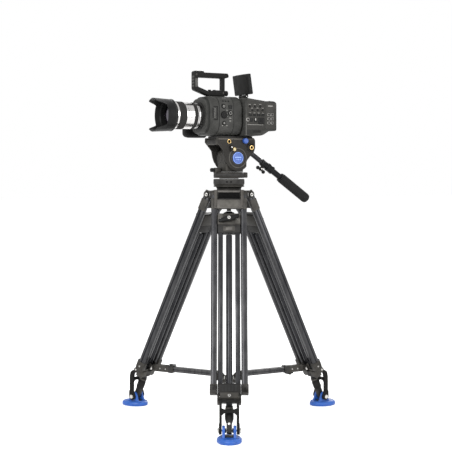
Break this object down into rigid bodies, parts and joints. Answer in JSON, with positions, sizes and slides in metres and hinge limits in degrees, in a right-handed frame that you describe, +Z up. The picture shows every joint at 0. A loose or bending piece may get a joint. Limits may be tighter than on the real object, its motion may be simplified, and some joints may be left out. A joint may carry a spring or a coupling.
{
  "type": "film camera on tripod",
  "caption": "Digital cinema camcorder with a hooded zoom lens, top handle and tilting monitor, on a fluid head and a folding twin-tube tripod with spreader.",
  "frame": {"origin": "centre of the bounding box's base, on the floor", "axes": "+Z up; the lens looks along -X; the camcorder's left side faces -Y; the tripod axis stands at x -0.0611 m, y 0.0057 m"},
  "size_m": [0.5692, 0.6052, 0.9228],
  "materials": {
    "casting": "dark grey enamel over a fine cast texture, semi-matte",
    "housing": "black enamel, satin",
    "tube": "dark grey anodised, satin",
    "black_plastic": "black moulded, fine texture",
    "camera_grey": "charcoal, fine matte paint",
    "blue_paint": "blue anodised",
    "blue_plastic": "blue moulded",
    "blue_rubber": "blue moulded rubber, matte",
    "black_rubber": "black rubber, ribbed grip",
    "lens_silver": "brushed satin silver",
    "lens_glass": "coated dark front element",
    "steel": "bright machined steel"
  },
  "bodies": {
    "crown": {"crown_casting": "casting", "leg_hinge_pin_front": "steel", "leg_hinge_pin_left": "steel", "leg_hinge_pin_right": "steel"},
    "leg_front": {"upper_leg_front": "tube"},
    "mid_front": {"mid_leg_front": "tube"},
    "low_front": {"lower_leg_front": "tube", "foot_strap_front": "black_rubber"},
    "pad_front": {"foot_pad_front": "blue_rubber"},
    "twist_front": {"upper_lock_lever_front": "black_plastic"},
    "flip_front": {"lower_lock_lever_front": "black_plastic"},
    "arm_front": {"spreader_sleeve_front": "casting"},
    "rod_front": {"spreader_rod_front": "tube"},
    "leg_left": {"upper_leg_left": "tube"},
    "mid_left": {"mid_leg_left": "tube"},
    "low_left": {"lower_leg_left": "tube", "foot_strap_left": "black_rubber"},
    "pad_left": {"foot_pad_left": "blue_rubber"},
    "twist_left": {"upper_lock_lever_left": "black_plastic"},
    "flip_left": {"lower_lock_lever_left": "black_plastic"},
    "arm_left": {"spreader_sleeve_left": "casting"},
    "rod_left": {"spreader_rod_left": "tube"},
    "leg_right": {"upper_leg_right": "tube"},
    "mid_right": {"mid_leg_right": "tube"},
    "low_right": {"lower_leg_right": "tube", "foot_strap_right": "black_rubber"},
    "pad_right": {"foot_pad_right": "blue_rubber"},
    "twist_right": {"upper_lock_lever_right": "black_plastic"},
    "flip_right": {"lower_lock_lever_right": "black_plastic"},
    "arm_right": {"spreader_sleeve_right": "casting"},
    "rod_right": {"spreader_rod_right": "tube"},
    "hub": {"spreader_hub": "casting"},
    "dish": {"ball_clamp_dish": "casting"},
    "ball": {"half_ball": "casting"},
    "tie_down": {"tie_down_knob": "black_plastic"},
    "pan": {"pan_base": "casting", "tilt_housing": "housing"},
    "pan_lock": {"pan_lock_knob": "black_plastic"},
    "tilt": {"cradle": "casting", "tilt_disc": "blue_paint"},
    "plate_lock": {"plate_lock_knob": "blue_plastic"},
    "tilt_lock": {"tilt_lock_lever": "black_plastic"},
    "bar": {"pan_bar_rod": "tube"},
    "bar_ext": {"pan_bar_tube": "tube", "pan_bar_grip": "black_rubber"},
    "wing": {"bar_wing_screw": "black_plastic"},
    "plate": {"sliding_plate": "casting", "camera_front_body": "camera_grey", "camera_rear_body": "camera_grey", "lens_barrel": "lens_silver", "front_lens_element": "lens_glass", "top_handle": "camera_grey", "battery_pack": "black_plastic"},
    "zoom": {"zoom_ring": "black_rubber"},
    "focus": {"focus_ring": "black_rubber"},
    "hood": {"lens_hood": "black_plastic"},
    "handle_knob": {"handle_clamp_knob": "black_plastic"},
    "lcd_swivel": {"lcd_post": "camera_grey"},
    "lcd": {"lcd_monitor": "black_plastic"},
    "grip": {"side_grip": "black_plastic"}
  },
  "joints": [
    {"name": "leg_fold_front", "type": "hinge", "parent": "crown", "child": "leg_front", "pos_m": [-0.08039, -0.03049, 0.5975], "axis": [0.8829, -0.4695, 0], "range_deg": [0, 20]},
    {"name": "mid_slide_front", "type": "slide", "parent": "leg_front", "child": "mid_front", "axis": [-0.1947, -0.3662, -0.91], "range_m": [0, 0.38]},
    {"name": "low_slide_front", "type": "slide", "parent": "mid_front", "child": "low_front", "axis": [-0.1947, -0.3662, -0.91], "range_m": [0, 0.38]},
    {"name": "pad_tip_front", "type": "hinge", "parent": "low_front", "child": "pad_front", "pos_m": [-0.20246, -0.26006, 0.02695], "axis": [0.8829, -0.4695, 0], "range_deg": [-12, 12]},
    {"name": "upper_lock_front", "type": "hinge", "parent": "mid_front", "child": "twist_front", "pos_m": [-0.09993, -0.06722, 0.53514], "axis": [-0.4272, -0.8034, 0.4147], "range_deg": [0, 90]},
    {"name": "lower_lock_front", "type": "hinge", "parent": "mid_front", "child": "flip_front", "pos_m": [-0.19475, -0.24556, 0.10519], "axis": [0.8829, -0.4695, 0], "range_deg": [0, 80]},
    {"name": "spreader_arm_front", "type": "hinge", "parent": "leg_front", "child": "arm_front", "pos_m": [-0.17489, -0.20822, 0.11119], "axis": [0.8829, -0.4695, 0], "range_deg": [0, 60.05]},
    {"name": "spreader_rod_slide_front", "type": "slide", "parent": "arm_front", "child": "rod_front", "axis": [-0.4695, -0.8829, 0], "range_m": [0, 0.0451]},
    {"name": "leg_fold_left", "type": "hinge", "parent": "crown", "child": "leg_left", "pos_m": [-0.08287, 0.04049, 0.5975], "axis": [-0.848, -0.5299, 0], "range_deg": [0, 20]},
    {"name": "mid_slide_left", "type": "slide", "parent": "leg_left", "child": "mid_left", "axis": [-0.2198, 0.3517, -0.91], "range_m": [0, 0.38]},
    {"name": "low_slide_left", "type": "slide", "parent": "mid_left", "child": "low_left", "axis": [-0.2198, 0.3517, -0.91], "range_m": [0, 0.38]},
    {"name": "pad_tip_left", "type": "hinge", "parent": "low_left", "child": "pad_left", "pos_m": [-0.22066, 0.26099, 0.02695], "axis": [-0.848, -0.5299, 0], "range_deg": [-12, 12]},
    {"name": "upper_lock_left", "type": "hinge", "parent": "mid_left", "child": "twist_left", "pos_m": [-0.10492, 0.07577, 0.53514], "axis": [-0.4822, 0.7717, 0.4147], "range_deg": [0, 90]},
    {"name": "lower_lock_left", "type": "hinge", "parent": "mid_left", "child": "flip_left", "pos_m": [-0.21196, 0.24706, 0.10519], "axis": [-0.848, -0.5299, 0], "range_deg": [0, 80]},
    {"name": "spreader_arm_left", "type": "hinge", "parent": "leg_left", "child": "arm_left", "pos_m": [-0.18954, 0.21119, 0.11119], "axis": [-0.848, -0.5299, 0], "range_deg": [0, 60.05]},
    {"name": "spreader_rod_slide_left", "type": "slide", "parent": "arm_left", "child": "rod_left", "axis": [-0.5299, 0.848, 0], "range_m": [0, 0.0451]},
    {"name": "leg_fold_right", "type": "hinge", "parent": "crown", "child": "leg_right", "pos_m": [-0.02017, 0.00715, 0.5975], "axis": [-0.0349, 0.9994, 0], "range_deg": [0, 20]},
    {"name": "mid_slide_right", "type": "slide", "parent": "leg_right", "child": "mid_right", "axis": [0.4144, 0.0145, -0.91], "range_m": [0, 0.38]},
    {"name": "low_slide_right", "type": "slide", "parent": "mid_right", "child": "low_right", "axis": [0.4144, 0.0145, -0.91], "range_m": [0, 0.38]},
    {"name": "pad_tip_right", "type": "hinge", "parent": "low_right", "child": "pad_right", "pos_m": [0.23968, 0.01622, 0.02695], "axis": [-0.0349, 0.9994, 0], "range_deg": [-12, 12]},
    {"name": "upper_lock_right", "type": "hinge", "parent": "mid_right", "child": "twist_right", "pos_m": [0.02141, 0.0086, 0.53514], "axis": [0.9094, 0.0318, 0.4147], "range_deg": [0, 90]},
    {"name": "lower_lock_right", "type": "hinge", "parent": "mid_right", "child": "flip_right", "pos_m": [0.22327, 0.01565, 0.10519], "axis": [-0.0349, 0.9994, 0], "range_deg": [0, 80]},
    {"name": "spreader_arm_right", "type": "hinge", "parent": "leg_right", "child": "arm_right", "pos_m": [0.181, 0.01417, 0.11119], "axis": [-0.0349, 0.9994, 0], "range_deg": [0, 60.05]},
    {"name": "spreader_rod_slide_right", "type": "slide", "parent": "arm_right", "child": "rod_right", "axis": [0.9994, 0.0349, 0], "range_m": [0, 0.0451]},
    {"name": "spreader_hub_slide", "type": "slide", "parent": "crown", "child": "hub", "axis": [0, 0, 1], "range_m": [0, 0.1195]},
    {"name": "level_x", "type": "hinge", "parent": "crown", "child": "dish", "pos_m": [-0.06114, 0.00571, 0.609], "axis": [1, 0, 0], "range_deg": [-6, 6]},
    {"name": "level_y", "type": "hinge", "parent": "dish", "child": "ball", "pos_m": [-0.06114, 0.00571, 0.609], "axis": [0, 1, 0], "range_deg": [-6, 6]},
    {"name": "tie_down_turn", "type": "hinge", "parent": "ball", "child": "tie_down", "pos_m": [-0.06114, 0.00571, 0.545], "axis": [0, 0, 1], "continuous": true},
    {"name": "pan_turn", "type": "hinge", "parent": "ball", "child": "pan", "pos_m": [-0.06114, 0.00571, 0.65], "axis": [0, 0, 1], "continuous": true},
    {"name": "pan_lock_turn", "type": "hinge", "parent": "pan", "child": "pan_lock", "pos_m": [-0.10415, 0.00971, 0.6625], "axis": [1, 0, 0], "continuous": true},
    {"name": "tilt_turn", "type": "hinge", "parent": "pan", "child": "tilt", "pos_m": [-0.05375, 0.00571, 0.6943], "axis": [0, 1, 0], "range_deg": [-50, 30]},
    {"name": "plate_lock_turn", "type": "hinge", "parent": "tilt", "child": "plate_lock", "pos_m": [-0.03315, -0.03129, 0.7398], "axis": [0, 1, 0], "continuous": true},
    {"name": "tilt_lock_turn", "type": "hinge", "parent": "tilt", "child": "tilt_lock", "pos_m": [-0.07484, -0.03129, 0.7228], "axis": [0, 1, 0], "range_deg": [-40, 40]},
    {"name": "bar_angle", "type": "hinge", "parent": "tilt", "child": "bar", "pos_m": [-0.01115, 0.05572, 0.727], "axis": [0, 1, 0], "range_deg": [-40, 15]},
    {"name": "bar_extend", "type": "slide", "parent": "bar", "child": "bar_ext", "axis": [0.8161, 0, -0.5779], "range_m": [0, 0.055]},
    {"name": "bar_wing_turn", "type": "hinge", "parent": "bar_ext", "child": "wing", "pos_m": [0.0702, 0.05572, 0.67193], "axis": [-0.5779, 0, -0.8161], "continuous": true},
    {"name": "plate_slide", "type": "slide", "parent": "tilt", "child": "plate", "axis": [1, 0, 0], "range_m": [-0.025, 0.025]},
    {"name": "zoom_turn", "type": "hinge", "parent": "plate", "child": "zoom", "pos_m": [-0.21114, 0.00571, 0.8045], "axis": [1, 0, 0], "range_deg": [-45, 45]},
    {"name": "focus_turn", "type": "hinge", "parent": "plate", "child": "focus", "pos_m": [-0.17314, 0.00571, 0.8045], "axis": [1, 0, 0], "continuous": true},
    {"name": "hood_turn", "type": "hinge", "parent": "plate", "child": "hood", "pos_m": [-0.23114, 0.00571, 0.8045], "axis": [1, 0, 0], "range_deg": [0, 60]},
    {"name": "handle_knob_turn", "type": "hinge", "parent": "plate", "child": "handle_knob", "pos_m": [-0.07215, 0.00571, 0.866], "axis": [1, 0, 0], "continuous": true},
    {"name": "lcd_swivel_turn", "type": "hinge", "parent": "plate", "child": "lcd_swivel", "pos_m": [-0.01715, 0.00571, 0.852], "axis": [0, 0, 1], "range_deg": [-90, 90]},
    {"name": "lcd_tilt", "type": "hinge", "parent": "lcd_swivel", "child": "lcd", "pos_m": [-0.01715, 0.00571, 0.8595], "axis": [0, 1, 0], "range_deg": [-15, 52]},
    {"name": "grip_turn", "type": "hinge", "parent": "plate", "child": "grip", "pos_m": [-0.10615, 0.06971, 0.8], "axis": [0, 1, 0], "range_deg": [-15, 90]}
  ],
  "couplings": [
    {"joint": "leg_fold_left", "follows": "leg_fold_front", "ratio": 1},
    {"joint": "mid_slide_left", "follows": "mid_slide_front", "ratio": 1},
    {"joint": "low_slide_left", "follows": "low_slide_front", "ratio": 1},
    {"joint": "leg_fold_right", "follows": "leg_fold_front", "ratio": 1},
    {"joint": "mid_slide_right", "follows": "mid_slide_front", "ratio": 1},
    {"joint": "low_slide_right", "follows": "low_slide_front", "ratio": 1},
    {"joint": "spreader_arm_front", "follows": "leg_fold_front", "ratio": 3},
    {"joint": "spreader_rod_slide_front", "follows": "leg_fold_front", "m_per_rad": 0.12892},
    {"joint": "spreader_arm_left", "follows": "leg_fold_front", "ratio": 3},
    {"joint": "spreader_rod_slide_left", "follows": "leg_fold_front", "m_per_rad": 0.12892},
    {"joint": "spreader_arm_right", "follows": "leg_fold_front", "ratio": 3},
    {"joint": "spreader_rod_slide_right", "follows": "leg_fold_front", "m_per_rad": 0.12892},
    {"joint": "spreader_hub_slide", "follows": "leg_fold_front", "m_per_rad": 0.34186}
  ]
}
